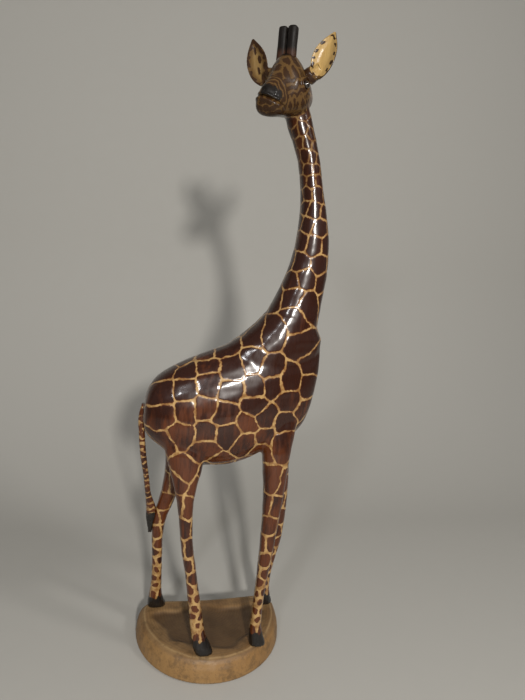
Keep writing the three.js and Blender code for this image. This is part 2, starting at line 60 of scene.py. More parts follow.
# The joints and the base's top come from the frame.
# The places of the head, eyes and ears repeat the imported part's own values.
LEGS = ("leg_front_right", "leg_front_left", "leg_rear_right", "leg_rear_left")
FIGURE = ("torso", "neck", "head") + LEGS
JOINT_GAP = 0.3 * MM
JOINTS = {name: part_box(name)[0].z - JOINT_GAP / 2 for name in ("torso", "neck", "head")}
BASE_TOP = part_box("base")[1].z / MM
HEAD_PLACE = Vector((54.0, 0.0, 939.3)) * MM
HEAD_YAW, HEAD_PITCH, HEAD_ROLL = -129.0, 21.0, 3.0
HEAD_TURN = (
    Matrix.Rotation(math.radians(HEAD_YAW), 4, "Z")
    @ Matrix.Rotation(math.radians(HEAD_PITCH), 4, "Y")
    @ Matrix.Rotation(math.radians(-HEAD_ROLL), 4, "X")
)
HEAD_FRAME = Matrix.Translation(HEAD_PLACE) @ HEAD_TURN

# Millimetres in the head's own frame: x to the muzzle, y to its left, z up.
EYE_PLACE = (15.0, 30.3, 1.0)
HORN_ROOT = (10.0, -2.5, 40.0)
NOSE = (80.0, 5.0, -3.0)
SLIT_CORNER = (63.0, 0.0, -21.0)
SLIT_SLOPE, SLIT_ROLL = 30.0, 14.0
EARS = {
    "ear_left": {
        "low": (-4, 41, 7.5),
        "tip": (-27, 57, 64),
        "root": (-4, 24, 8),
        "meet": (-9, 43, 21),
        "turn": -0.2,
        "wide": 1.0,
        "gold": 1.05,
    },
    "ear_right": {
        "low": (-3, -50, -0.6),
        "tip": (-26, -75.5, 60),
        "root": (-5, -22.5, 8),
        "meet": (-11, -52.7, 17.7),
        "turn": 0.2,
        "wide": 0.88,
        "gold": 0.72,
    },
}
LEAF_SHARES = (0, 0.1, 0.24, 0.42, 0.6, 0.76, 0.9, 1)
LEAF_HALVES = (4, 12, 17.5, 19.5, 18, 13, 6.5, 1.6)

# Patches run in staggered rings round the barrel, the legs and the neck. Lengths in millimetres.
RING_REACH = 2.5
FEWEST_POINTS = 8
LOOSENESS = 0.25
BARREL_BACK = 10.0
BARREL_FRONT = 20.0
BARREL_RUNG = 33.0
BARREL_PATCH = 37.0
LEG_RINGS = (60, 330)
LEG_PATCH_SHARE = 1.05
NECK_RINGS = (612, 960)
NECK_PATCH_SHARE = 0.84

# Heights in millimetres. The first two are above the base.
HOOF_HEIGHT = 23
GROOVE_HEIGHT = 30
HEAD_FROM = 866

# ---------------------------------------------------------------- settings


def length(name, text, value, low, high):
    return bpy.props.FloatProperty(
        name=name, description=text, default=value, min=low, max=high, unit="LENGTH", precision=4
    )


def share(name, text, value, high=1.0):
    return bpy.props.FloatProperty(name=name, description=text, default=value, min=0.0, max=high)


def colour(name, text, value):
    return bpy.props.FloatVectorProperty(
        name=name, description=text, default=value, subtype="COLOR", size=3, min=0.0, max=1.0
    )


class GiraffeCarving(bpy.types.PropertyGroup):
    figure_grain: length("Figure mesh", "Edge length of the figure's surface mesh", 1.55 * MM, 0.0005, 0.01)
    small_grain: length("Small mesh", "Edge length on ears, horns and tail", 0.8 * MM, 0.0003, 0.01)
    base_grain: length("Base mesh", "Edge length of the base's surface mesh", 1.7 * MM, 0.0005, 0.01)
    smoothing: bpy.props.IntProperty(
        name="Smoothing",
        description="Passes that take the facets off the figure",
        default=46,
        min=1,
        max=200,
    )
    hand_marks: length("Hand marks", "Depth of the uneven hand carving", 0.22 * MM, 0.0, 0.003)
    line_depth: length("Line depth", "How deep the scraped lines lie", 0.28 * MM, 0.0, 0.002)
    dish_depth: length("Dish depth", "How deep the middle of the base is scooped", 4.5 * MM, 0.0, 0.01)
    rim_width: length("Rim width", "Width of the rim left around the scoop", 30 * MM, 0.0, 0.06)


class GiraffeColours(bpy.types.PropertyGroup):
    core: colour("Patch, dark", "Heavily stained stretches of a patch", (0.028, 0.0066, 0.0024))
    body: colour("Patch, warm", "Thinly stained stretches of a patch", (0.098, 0.0235, 0.0042))
    edge: colour("Patch edge", "Edge of a patch", (0.105, 0.027, 0.006))
    line: colour("Line", "Scraped lines", (0.46, 0.29, 0.115))
    line_dark: colour("Line shade", "Stained stretches of the lines", (0.23, 0.110, 0.032))
    face: colour("Face", "Ground colour of the face", (0.098, 0.052, 0.016))
    ear: colour("Ear", "Hollow of the ears", (0.50, 0.33, 0.12))
    black: colour("Black", "Hooves, nose and horns", (0.0065, 0.0045, 0.0034))
    wood: colour("Log", "Pale wood of the base", (0.25, 0.150, 0.062))
    wood_dark: colour("Log, dark", "Weathered wood in the scoop", (0.075, 0.040, 0.016))
    dowel: colour("Dowel", "Bare dowels inside", (0.50, 0.33, 0.16))


class GiraffeStage(bpy.types.PropertyGroup):
    floor: colour("Floor", "Floor and backdrop", (0.46, 0.45, 0.42))
    key_power: bpy.props.FloatProperty(name="Key light", description="Watts", default=34.0, min=0.0)
    fill_power: bpy.props.FloatProperty(name="Fill light", description="Watts", default=11.0, min=0.0)
    sky: share("Sky", "Strength of the even light all round", 0.19, 5.0)


# ---------------------------------------------------------------- mesh helpers


def merged_copy(name):
    """A bmesh copy of a frame node with its triangles joined."""
    bm = bmesh.new()
    bm.from_mesh(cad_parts[name].data)
    bmesh.ops.remove_doubles(bm, verts=bm.verts, dist=0.001 * MM)
    return bm


def to_mesh(bm, name):
    mesh = bpy.data.meshes.new(name)
    bm.to_mesh(mesh)
    bm.free()
    return mesh


def with_modifiers(mesh, *steps):
    """The mesh after the modifiers, each given as (kind, its values)."""
    work = bpy.data.objects.new("work", mesh)
    bpy.context.scene.collection.objects.link(work)
    for kind, values in steps:
        modifier = work.modifiers.new(kind, kind)
        for key, value in values.items():
            setattr(modifier, key, value)
    depsgraph = bpy.context.evaluated_depsgraph_get()
    result = bpy.data.meshes.new_from_object(work.evaluated_get(depsgraph))
    bpy.data.objects.remove(work)
    return result


def voxels(size):
    return "REMESH", {"mode": "VOXEL", "voxel_size": size, "use_smooth_shade": True}


def passes(count, factor=0.5):
    return "SMOOTH", {"factor": factor, "iterations": count}


def points_of(mesh):
    flat = np.empty(len(mesh.vertices) * 3)
    mesh.vertices.foreach_get("co", flat)
    return flat.reshape(-1, 3)


def set_points(mesh, points):
    mesh.vertices.foreach_set("co", points.ravel())
    mesh.update()


def normals_of(mesh):
    flat = np.empty(len(mesh.vertices) * 3, np.float32)
    mesh.vertex_normals.foreach_get("vector", flat)
    return flat.reshape(-1, 3).astype(float)


def set_values(mesh, **named):
    for name, values in named.items():
        layer = mesh.attributes.new(name, "FLOAT", "POINT")
        layer.data.foreach_set("value", np.asarray(values, np.float32))


def biggest_island(mesh):
    """Keeps the outer skin and drops the small closed voids that the hidden joints leave."""
    bm = bmesh.new()
    bm.from_mesh(mesh)
    bm.verts.ensure_lookup_table()
    seen = set()
    islands = []
    for vert in bm.verts:
        if vert in seen:
            continue
        island = {vert}
        queue = [vert]
        while queue:
            for edge in queue.pop().link_edges:
                for other in edge.verts:
                    if other not in island:
                        island.add(other)
                        queue.append(other)
        seen |= island
        islands.append(island)
    islands.sort(key=len)
    for island in islands[:-1]:
        bmesh.ops.delete(bm, geom=list(island), context="VERTS")
    return to_mesh(bm, mesh.name)


def smoothed(mesh, count):
    """Positions with the facets off and the volume kept: what a second run takes is added back."""
    once = points_of(with_modifiers(mesh, passes(count)))
    twice = points_of(with_modifiers(mesh, passes(2 * count)))
    return 2 * once - twice


def step(values, low, high):
    """0 below low, 1 above high, smooth between."""
    t = np.clip((values - low) / (high - low), 0.0, 1.0)
    return t * t * (3 - 2 * t)


def wave(points, size, seed):
    """A smooth uneven value, mostly from -1 to 1, with features about size wide. Millimetres."""
    draw = np.random.default_rng(seed)
    total = np.zeros(len(points))
    for _ in range(7):
        way = draw.normal(size=3)
        way *= 2 * math.pi * draw.uniform(0.7, 1.5) / (size * np.linalg.norm(way))
        total += np.sin(points @ way + draw.uniform(0, 2 * math.pi))
    return total / 3.0


def wobbled(points, size, depth, seed):
    moved = points.copy()
    for axis in range(3):
        moved[:, axis] += depth * wave(points, size, seed + axis)
    return moved


def in_head(points):
    """Points in metres to millimetres in the head's frame."""
    turn = np.array(HEAD_TURN.to_3x3())
    return (points - np.array(HEAD_PLACE)) @ turn / MM


# ---------------------------------------------------------------- patches


def ring_seeds(points, places, across, loose, axis=2):
    """Patch middles in staggered rings around a limb that runs along an axis, from its surface points."""
    draw = np.random.default_rng(11)
    plane = [other for other in range(3) if other != axis]
    seeds = []
    for row, place in enumerate(places):
        near = points[np.abs(points[:, axis] - place) < RING_REACH]
        if len(near) < FEWEST_POINTS:
            continue
        offset = near[:, plane] - (near[:, plane].min(0) + near[:, plane].max(0)) / 2
        # The angles are taken on a section pulled halfway towards round.
        evened = offset / np.sqrt(offset.max(0))
        turn = np.arctan2(evened[:, 1], evened[:, 0])
        radius = np.linalg.norm(offset, axis=1).mean()
        count = max(3, round(2 * math.pi * radius / across(place)))
        for i in range(count):
            angle = 2 * math.pi * (i + 0.5 * (row % 2) + draw.uniform(-1, 1) * loose(place)) / count
            gap = np.abs((turn - angle + math.pi) % (2 * math.pi) - math.pi)
            seed = near[gap.argmin()].copy()
            seed[axis] = place + draw.uniform(-1, 1) * loose(place) * across(place)
            seeds.append(seed)
    return seeds


def ladder(low, high, rung):
    """Places from high down to low, a rung apart, where the rung depends on the place."""
    places = []
    place = high
    while place > low:
        places.append(place)
        place -= rung(place)
    return places


def leg_rung(height):
    return float(np.interp(height, (60, 130, 190, 270, 340), (14.5, 15.5, 23, 33, 38)))


def neck_rung(height):
    return float(np.interp(height, (600, 640, 700, 760, 850, 960), (42, 37, 29, 23, 16, 14)))


def leg_looseness(height):
    return float(np.interp(height, (170, 250), (0.09, LOOSENESS)))


def patch_seeds(parts):
    """Every patch's middle, in millimetres."""
    barrel = points_of(parts["torso"]) / MM
    back = barrel[:, 0].min() + BARREL_BACK
    front = barrel[:, 0].max() - BARREL_FRONT
    rings = ladder(back, front, lambda place: BARREL_RUNG)
    seeds = ring_seeds(barrel, rings, lambda place: BARREL_PATCH, lambda place: LOOSENESS, axis=0)
    rings = ladder(*LEG_RINGS, leg_rung)
    for name in LEGS:
        points = points_of(parts[name]) / MM
        seeds += ring_seeds(points, rings, lambda place: leg_rung(place) * LEG_PATCH_SHARE, leg_looseness)
    upper = np.vstack((points_of(parts["neck"]), points_of(parts["head"]))) / MM
    rings = ladder(*NECK_RINGS, neck_rung)
    seeds += ring_seeds(
        upper, rings, lambda place: neck_rung(place) * NECK_PATCH_SHARE, lambda place: LOOSENESS
    )
    return np.array(seeds)


def patchwork(points, seeds, rounding):
    """How far each point is inside its patch, in millimetres, and which patch that is."""
    apart = np.linalg.norm(seeds[:, None] - seeds[None], axis=2)
    np.fill_diagonal(apart, np.inf)
    inside = np.empty(len(points))
    owner = np.empty(len(points), int)
    reach = (seeds**2).sum(1)
    for start in range(0, len(points), 4000):
        chunk = points[start : start + 4000]
        square = (chunk**2).sum(1)[:, None] + reach[None] - 2 * chunk @ seeds.T
        own = square.argmin(1)
        nearest = square[np.arange(len(chunk)), own]
        away = (square - nearest[:, None]) / (2 * apart[own])
        away[np.arange(len(chunk)), own] = np.inf
        soft = rounding[start : start + 4000][:, None]
        inside[start : start + 4000] = -soft[:, 0] * np.log(np.exp(-away / soft).sum(1) + 1e-12)
        owner[start : start + 4000] = own
    return inside, owner


def line_width(height):
    return np.interp(
        height, (60, 150, 200, 260, 340, 560, 620, 760, 870), (4.3, 4.0, 3.7, 3.4, 3.0, 2.8, 2.4, 2.2, 1.9)
    )


def spots(u, v, pitch, size, seed):
    """Staggered oval marks: how far a point is inside one, with its edge at 0."""
    row = np.floor(v / pitch[1])
    u = u / pitch[0] + 0.5 * (row % 2)
    column = np.floor(u)
    code = np.sin(row * 12.99 + column * 78.23 + seed) * 43758.5
    drift = code - np.floor(code) - 0.5
    across = (u - column - 0.5 - 0.25 * drift) * pitch[0] / size[0]
    along = ((v / pitch[1]) - row - 0.5 + 0.2 * drift) * pitch[1] / size[1]
    return (1 - np.hypot(across, along)) * min(size)


def slit_distance(local):
    """How far above the line of the mouth each point is."""
    drop = math.tan(math.radians(SLIT_ROLL))
    rise = math.tan(math.radians(SLIT_SLOPE))
    return local[:, 2] - (SLIT_CORNER[2] + rise * (local[:, 0] - SLIT_CORNER[0]) - drop * local[:, 1])


def face_marks(local):
    """The marks on the face and where they are: rings on the muzzle, bands and dashes, spots above."""
    bent = wobbled(local, 17, 1.9, 50)
    ring_at = np.linalg.norm(bent - np.array(NOSE), axis=1)
    rings = 1.5 * np.sin(2 * math.pi * ring_at / 6.4) + 0.35
    bands = 1.9 * np.sin(2 * math.pi * (bent[:, 2] + 0.25 * bent[:, 0]) / 8.6) + 0.5
    dashes = spots(bent[:, 0], bent[:, 2], (8.4, 15.0), (3.1, 6.4), 3.0)
    brow = spots(bent[:, 1], bent[:, 0], (14.0, 12.5), (5.8, 5.0), 7.0)
    cheek = np.where(bent[:, 2] > -10, bands, dashes)
    marks = np.where(ring_at < 29, rings, np.where(local[:, 2] > 11, brow, cheek))
    gap = slit_distance(local)
    jaw = step(-gap, 2.0, 4.0) * step(local[:, 0], 62, 70)
    chin = spots(bent[:, 1], bent[:, 2], (11.0, 9.0), (5.0, 3.8), 5.0)
    marks = np.where(jaw > 0.5, chin + 0.8, marks)
    lip = (np.abs(gap - 1.2) < 1.1) & (local[:, 0] > 66)
    marks = np.where(lip, -1.2, marks)
    mask = step(local[:, 0] + 0.35 * local[:, 2] + 2.0 * wave(local, 20, 61), 0, 5)
    mask *= step(local[:, 2] + 0.25 * local[:, 0], -34, -29)
    return marks, mask


def nose_mask(local):
    across = (local[:, 1] - NOSE[1]) / 14.0
    up = (local[:, 2] - NOSE[2] + 1.5 + 0.38 * (local[:, 1] - NOSE[1])) / 10.0
    front = step(local[:, 0], 66, 70) * step(slit_distance(local), 1.6, 2.6)
    return front * step(1 - np.hypot(across, up) + 0.08 * wave(local, 6, 70), -0.05, 0.1)


def paint(points, seeds):
    """Values that the coat reads at every point of the figure."""
    place = points / MM
    height = place[:, 2]
    bent = wobbled(wobbled(place, 46, 2.6, 1), 13, 0.7, 5)
    small = step(height, 590, 640) + step(-height, -320, -260)
    bent = place + (bent - place) * (1 - 0.45 * small)[:, None]
    width = line_width(height) * (1 + 0.22 * wave(place, 26, 20) + 0.2 * wave(place, 11, 21))
    round_low = 0.26 + 0.16 * step(-height, -170, -90)
    inside, owner = patchwork(bent, seeds, round_low * width)
    edge = inside - width / 2 + 0.3 * wave(place, 5.5, 22)
    draw = np.random.default_rng(5)
    tone = 0.6 * draw.uniform(0, 1, len(seeds))[owner] + 0.12 * wave(place, 70, 23)
    tone += 0.65 * (1 - step(height, 360, 520)) - 0.15
    local = in_head(points)
    marks, face = face_marks(local)
    on_head = step(height, HEAD_FROM, HEAD_FROM + 4)
    face = face * on_head
    edge = np.where(face > 0.5, 0.55 * marks, edge)
    around = np.linalg.norm(local - np.array(HORN_ROOT), axis=1)
    horn_root = on_head * (1 - step(around, 9, 19))
    hoof_top = BASE_TOP + HOOF_HEIGHT + 2.5 * wave(place, 9, 31)
    hoof = 1 - step(height, hoof_top - 0.7, hoof_top + 0.7)
    soot = np.maximum.reduce((hoof, nose_mask(local) * on_head, 0.85 * horn_root))
    ground = np.maximum(0.5 * face, 0.3 * step(height, 690, 860))
    return {"edge": edge, "tone": tone, "soot": soot, "ground": ground}


# ---------------------------------------------------------------- the figure


def joined_figure(settings):
    """One skin around torso, neck, head and legs, with the joints closed."""
    bm = bmesh.new()
    for name in FIGURE:
        start = len(bm.verts)
        bm.from_mesh(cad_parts[name].data)
        bm.verts.ensure_lookup_table()
        for vert in bm.verts[start:]:
            for joint in JOINTS.values():
                if abs(vert.co.z - joint) < JOINT_GAP:
                    vert.co.z += 5 * JOINT_GAP * (1 if vert.co.z < joint else -1)
        bmesh.ops.remove_doubles(bm, verts=bm.verts[start:], dist=0.001 * MM)
    mesh = with_modifiers(to_mesh(bm, "figure"), voxels(settings.figure_grain))
    mesh = biggest_island(mesh)
    crisp = points_of(with_modifiers(mesh, passes(5)))
    soft = smoothed(mesh, settings.smoothing)
    weight = step(crisp[:, 2] / MM, BASE_TOP + 8, BASE_TOP + 26)[:, None]
    set_points(mesh, crisp + (soft - crisp) * weight)
    return mesh


def between(mesh, low, high):
    """The open part of the skin between two heights."""
    bm = bmesh.new()
    bm.from_mesh(mesh)
    for height, way in ((low, -1), (high, 1)):
        if height is not None:
            geometry = bm.verts[:] + bm.edges[:] + bm.faces[:]
            bmesh.ops.bisect_plane(
                bm,
                geom=geometry,
                dist=1e-7,
                plane_co=(0, 0, height),
                plane_no=(0, 0, way),
                clear_outer=True,
            )
    return bm


def split_legs(bm):
    """Each leg's faces on their own, told apart by which leg's box they are nearest to."""
    middles = {name: sum(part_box(name), Vector()) / 2 for name in LEGS}
    sides = {name: bm.copy() for name in LEGS}
    bm.free()
    legs = {}
    for name, copy in sides.items():
        doomed = []
        visited = set()
        for vert in copy.verts:
            if vert in visited:
                continue
            island = [vert]
            visited.add(vert)
            for member in island:
                for edge in member.link_edges:
                    other = edge.other_vert(member)
                    if other not in visited:
                        visited.add(other)
                        island.append(other)
            centre = sum((member.co for member in island), Vector()) / len(island)
            nearest = min(middles, key=lambda leg: (middles[leg] - centre).length)
            if nearest != name:
                doomed += island
        bmesh.ops.delete(copy, geom=doomed, context="VERTS")
        legs[name] = copy
    return legs


def head_shape(local):
    """How far the carving of the face moves each point, along the normal and backwards along the muzzle."""
    eye_left = np.linalg.norm(local - np.array(EYE_PLACE), axis=1)
    eye_right = np.linalg.norm(local - np.array(EYE_PLACE) * (1, -1, 1), axis=1)
    out = np.zeros(len(local))
    for eye in (eye_left, eye_right):
        out += 1.0 * np.exp(-(((eye - 8.5) / 2.0) ** 2))
        out -= 0.6 * np.exp(-(((eye - 13.0) / 2.6) ** 2))
    for side in (1, -1):
        hole = np.array((82.0, NOSE[1] + side * 8.5, NOSE[2] - side * 3.4))
        nostril = np.linalg.norm(local - hole, axis=1)
        out -= 1.5 * np.exp(-((nostril / 3.0) ** 2))
        cheek = np.linalg.norm((local - np.array((50.0, side * 24.0, 4.0))) / (14, 10, 9), axis=1)
        out -= 0.8 * np.exp(-(cheek**2))
    gap = slit_distance(local)
    front = step(local[:, 0], SLIT_CORNER[0] + 1, SLIT_CORNER[0] + 9)
    out += front * 1.0 * np.exp(-(((gap - 4.0) / 2.0) ** 2))
    out += front * 1.4 * np.exp(-(((gap + 4.5) / 2.6) ** 2))
    back = front * 4.6 * np.exp(-((gap / 1.1) ** 2))
    return out, back


def relief(piece_points, values, settings):
    """Depth of the carving in millimetres: uneven hand marks and lines scraped in."""
    place = piece_points / MM
    depth = settings.hand_marks / MM
    marks = depth * (0.8 * wave(place, 34, 90) + 0.2 * wave(place, 15, 95)) - 0.5 * depth
    lines = -(settings.line_depth / MM) * (1 - step(values["edge"], -0.9, 0.7)) * (1 - values["ground"])
    split = wave(place * (1, 1, 0.12), 5, 40) > 0.35
    grooves = -0.55 * values["soot"] * (place[:, 2] < BASE_TOP + GROOVE_HEIGHT) * split
    return marks + lines + grooves


def cap(bm):
    """Closes the flat cuts and keeps their rims sharp."""
    rims = [edge for edge in bm.edges if edge.is_boundary]
    if rims:
        made = bmesh.ops.holes_fill(bm, edges=rims, sides=0)
        for face in made["faces"]:
            face.smooth = False
            for edge in face.edges:
                edge.smooth = False


def carve_piece(name, bm, seeds, settings):
    """Paints and carves one open part, then closes it."""
    mesh = to_mesh(bm, name)
    points = points_of(mesh)
    normals = normals_of(mesh)
    values = paint(points, seeds)
    out = relief(points, values, settings)
    back = np.zeros(len(points))
    if name == "head":
        bump, back = head_shape(in_head(points))
        out = out + bump
    forward = np.array(HEAD_TURN.to_3x3())[:, 0]
    moved = points + normals * out[:, None] * MM - forward * back[:, None] * MM
    for joint in JOINTS.values():
        at_cut = np.abs(points[:, 2] - joint) < 1e-6
        moved[at_cut, 2] = joint
    sole = points[:, 2] < BASE_TOP * MM + 1.2 * MM
    moved[sole, 2] = (BASE_TOP - 0.15) * MM
    set_points(mesh, moved)
    set_values(mesh, **values)
    bm = bmesh.new()
    bm.from_mesh(mesh)
    for face in bm.faces:
        face.smooth = True
    cap(bm)
    bm.to_mesh(mesh)
    bm.free()
    return mesh


def finish_piece(name, mesh, material):
    """Puts a piece in the scene in place of its frame node."""
    mesh.materials.clear()
    mesh.materials.append(material)
    piece = bpy.data.objects.new("carved_" + name, mesh)
    bpy.context.scene.collection.objects.link(piece)
    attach(piece, "root")
    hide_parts(name)
    return piece


# ---------------------------------------------------------------- materials


class Nodes:
    """A short way to write a material's nodes."""

    def __init__(self, name):
        self.material = bpy.data.materials.new(name)
        self.material.use_nodes = True
        self.tree = self.material.node_tree
        self.shader = self.tree.nodes["Principled BSDF"]

    def add(self, kind, inputs=(), **values):
        node = self.tree.nodes.new(kind)
        for key, value in values.items():
            setattr(node, key, value)
        for key, value in dict(inputs).items():
            self.set(node.inputs[key], value)
        return node

    def set(self, socket, value):
        if isinstance(value, bpy.types.NodeSocket):
            self.tree.links.new(value, socket)
        else:
            socket.default_value = value

    def value(self, name):
        return self.add("ShaderNodeAttribute", attribute_name=name).outputs["Fac"]

    def object_place(self, scale=(1, 1, 1), shift=(0, 0, 0)):
        place = self.add("ShaderNodeTexCoord").outputs["Object"]
        inputs = {"Vector": place, "Scale": scale, "Location": shift}
        return self.add("ShaderNodeMapping", inputs).outputs["Vector"]

    def noise(self, place, scale, detail=3.0, rough=0.55):
        inputs = {"Vector": place, "Scale": scale, "Detail": detail, "Roughness": rough}
        return self.add("ShaderNodeTexNoise", inputs).outputs["Fac"]

    def math(self, operation, first, second=0.0):
        return self.add("ShaderNodeMath", {0: first, 1: second}, operation=operation).outputs[0]

    def span(self, value, low, high, to_low=0.0, to_high=1.0):
        inputs = {"Value": value, "From Min": low, "From Max": high, "To Min": to_low, "To Max": to_high}
        node = self.add("ShaderNodeMapRange", inputs, interpolation_type="SMOOTHSTEP")
        return node.outputs["Result"]

    def mix(self, share_of, first, second, blend_type="MIX"):
        node = self.add("ShaderNodeMix", data_type="RGBA", blend_type=blend_type)
        self.set(node.inputs[0], share_of)
        self.set(node.inputs[6], first)
        self.set(node.inputs[7], second)
        return node.outputs[2]

    def bump(self, height, depth, strength=1.0):
        inputs = {"Height": height, "Distance": depth, "Strength": strength}
        self.set(self.shader.inputs["Normal"], self.add("ShaderNodeBump", inputs).outputs["Normal"])

    def surface(self, base, roughness, **fixed):
        self.set(self.shader.inputs["Base Color"], base)
        self.set(self.shader.inputs["Roughness"], roughness)
        for key, value in fixed.items():
            self.shader.inputs[key.replace("_", " ")].default_value = value
        return self.material


def rgba(value):
    return (*value, 1.0)


def lacquered_coat(colours):
    """Stained and lacquered wood: dark patches, scraped lines, black parts and the pale face and ears."""
    made = Nodes("lacquered_coat")
    edge = made.value("edge")
    soot = made.value("soot")
    ground = made.value("ground")
    grain = made.noise(made.object_place((1, 1, 0.07)), 520, 4.0)
    streak = made.noise(made.object_place((1, 1, 0.16)), 150, 3.0)
    mottle = made.noise(made.object_place(), 95, 4.0)
    fleck = made.math("SUBTRACT", made.noise(made.object_place(), 420, 3.0), 0.5)
    brush = made.math("MULTIPLY", fleck, 2.4)
    depth = made.math("ADD", edge, brush)
    patch = made.span(depth, -0.28, 0.28)
    glow = made.noise(made.object_place((1, 1, 0.4)), 30, 3.0)
    warmth = made.math("ADD", glow, made.math("MULTIPLY", made.math("SUBTRACT", streak, 0.5), 0.8))
    tone = made.math("MULTIPLY", made.math("SUBTRACT", made.value("tone"), 0.5), 0.58)
    warmth = made.math("ADD", warmth, tone)
    stain = made.mix(made.span(warmth, 0.38, 0.78), rgba(colours.core), rgba(colours.body))
    stain = made.mix(made.span(depth, 0.0, 1.7), rgba(colours.edge), stain)
    stain = made.mix(made.span(grain, 0.35, 0.75, 0.0, 0.35), stain, (0.012, 0.003, 0.002, 1.0))
    stain = made.mix(made.span(ground, 0.2, 0.5), stain, (0.034, 0.0145, 0.0050, 1.0))
    line = made.mix(made.span(mottle, 0.38, 0.66), rgba(colours.line), rgba(colours.line_dark))
    line = made.mix(made.span(grain, 0.45, 0.75, 0.0, 0.35), line, rgba(colours.line_dark))
    line = made.mix(made.span(ground, 0.0, 0.5), line, rgba(colours.face))
    gold = made.mix(made.span(grain, 0.4, 0.7, 0.0, 0.3), rgba(colours.ear), rgba(colours.line_dark))
    line = made.mix(made.span(ground, 0.55, 1.0), line, gold)
    coat = made.mix(patch, line, stain)
    black = made.mix(made.span(grain, 0.5, 0.8, 0.0, 0.5), rgba(colours.black), (0.024, 0.014, 0.009, 1.0))
    coat = made.mix(made.span(soot, 0.02, 0.95), coat, black)
    fine = made.math("ADD", made.math("MULTIPLY", grain, 0.6), made.math("MULTIPLY", mottle, 0.4))
    made.bump(fine, 0.0005, 0.12)
    roughness = made.math("ADD", made.span(streak, 0.3, 0.75, 0.24, 0.38), made.math("MULTIPLY", soot, 0.2))
    made.set(made.shader.inputs["Coat Weight"], made.span(ground, 0.0, 0.4, 0.65, 0.22))
    return made.surface(coat, roughness, Coat_Roughness=0.14, Coat_IOR=1.5, Specular_IOR_Level=0.22)


def blackened_wood(colours):
    """Black stained horn wood, browner at the root."""
    made = Nodes("blackened_wood")
    grain = made.noise(made.object_place((1, 1, 0.08)), 620, 4.0)
    soot = made.value("soot")
    black = made.mix(made.span(grain, 0.5, 0.75, 0.0, 0.6), rgba(colours.black), (0.014, 0.012, 0.010, 1.0))
    root = made.mix(made.span(grain, 0.35, 0.7), (0.050, 0.020, 0.010, 1.0), (0.022, 0.010, 0.006, 1.0))
    made.bump(grain, 0.0006, 0.35)
    base = made.mix(made.span(soot, 0.1, 0.9), root, black)
    roughness = made.span(grain, 0.3, 0.7, 0.42, 0.6)
    return made.surface(base, roughness, Coat_Weight=0.0, Specular_IOR_Level=0.22)


def log_slice(colours):
    """Bare satin wood of a log slice: year rings on top, speckled side, darker scoop."""
    made = Nodes("log_slice")
    place = made.object_place(shift=(0, -0.05, 0))
    rings = made.add(
        "ShaderNodeTexWave",
        {"Vector": place, "Scale": 62.0, "Distortion": 5.5, "Detail": 3.0, "Detail Scale": 0.35},
        wave_type="RINGS",
        rings_direction="Z",
    ).outputs["Fac"]
    broad = made.noise(made.object_place(), 16, 4.0, 0.6)
    speck = made.noise(made.object_place((1, 1, 0.6)), 520, 3.0, 0.65)
    scoop = made.value("scoop")
    side = made.value("side")
    pale = rgba(colours.wood)
    tan = made.mix(made.span(broad, 0.35, 0.7), pale, (0.19, 0.100, 0.036, 1.0))
    ringed = made.mix(made.span(rings, 0.35, 0.95, 0.0, 0.25), tan, (0.12, 0.064, 0.026, 1.0))
    ringed = made.mix(made.math("MULTIPLY", side, 0.8), ringed, tan)
    orange = made.mix(made.math("MULTIPLY", side, 0.55), ringed, (0.31, 0.165, 0.050, 1.0))
    dark = made.mix(made.span(broad, 0.3, 0.7), rgba(colours.wood_dark), (0.11, 0.060, 0.024, 1.0))
    dark = made.mix(made.span(rings, 0.3, 0.9, 0.0, 0.22), dark, (0.045, 0.023, 0.010, 1.0))
    scooped = made.math("ADD", scoop, made.span(broad, 0.3, 0.7, -0.25, 0.25))
    wood = made.mix(made.span(scooped, 0.1, 0.9), orange, dark)
    # Pale line along the top's outer ridge: painted highlight where the edge catches the light, partly worn
    # bare wood.
    wood = made.mix(made.math("MULTIPLY", made.value("worn"), 0.35), wood, (0.52, 0.36, 0.17, 1.0))
    patchy = made.noise(made.object_place(), 70, 5.0, 0.7)
    wood = made.mix(made.span(patchy, 0.46, 0.66, 0.0, 0.62), wood, (0.105, 0.060, 0.024, 1.0))
    wood = made.mix(made.span(speck, 0.58, 0.74, 0.0, 0.6), wood, (0.070, 0.038, 0.016, 1.0))
    bumps = made.math("ADD", made.math("MULTIPLY", rings, 0.5), speck)
    made.bump(bumps, 0.0006, 0.3)
    return made.surface(wood, made.span(speck, 0.3, 0.8, 0.48, 0.66), Coat_Weight=0.0)


def dowel_wood(colours):
    made = Nodes("dowel_wood")
    grain = made.noise(made.object_place((1, 1, 0.06)), 480, 4.0)
    made.bump(grain, 0.0004, 0.3)
    base = made.mix(made.span(grain, 0.35, 0.7), rgba(colours.dowel), (0.36, 0.22, 0.10, 1.0))
    return made.surface(base, made.span(grain, 0.3, 0.7, 0.55, 0.75))


def eye_bead(colours):
    """Dark glossy bead with a faint brown iris."""
    made = Nodes("eye_bead")
    mottle = made.noise(made.object_place(), 800, 3.0)
    base = made.mix(made.span(mottle, 0.4, 0.7), rgba(colours.black), (0.040, 0.022, 0.012, 1.0))
    return made.surface(base, made.span(mottle, 0.3, 0.7, 0.10, 0.18), Coat_Weight=1.0, Coat_Roughness=0.05)


FINISHES = {}


def material(maker):
    """One shared material for each finish."""
    if maker not in FINISHES:
        FINISHES[maker] = maker(bpy.context.scene.giraffe_colours)
    return FINISHES[maker]


# ---------------------------------------------------------------- operators


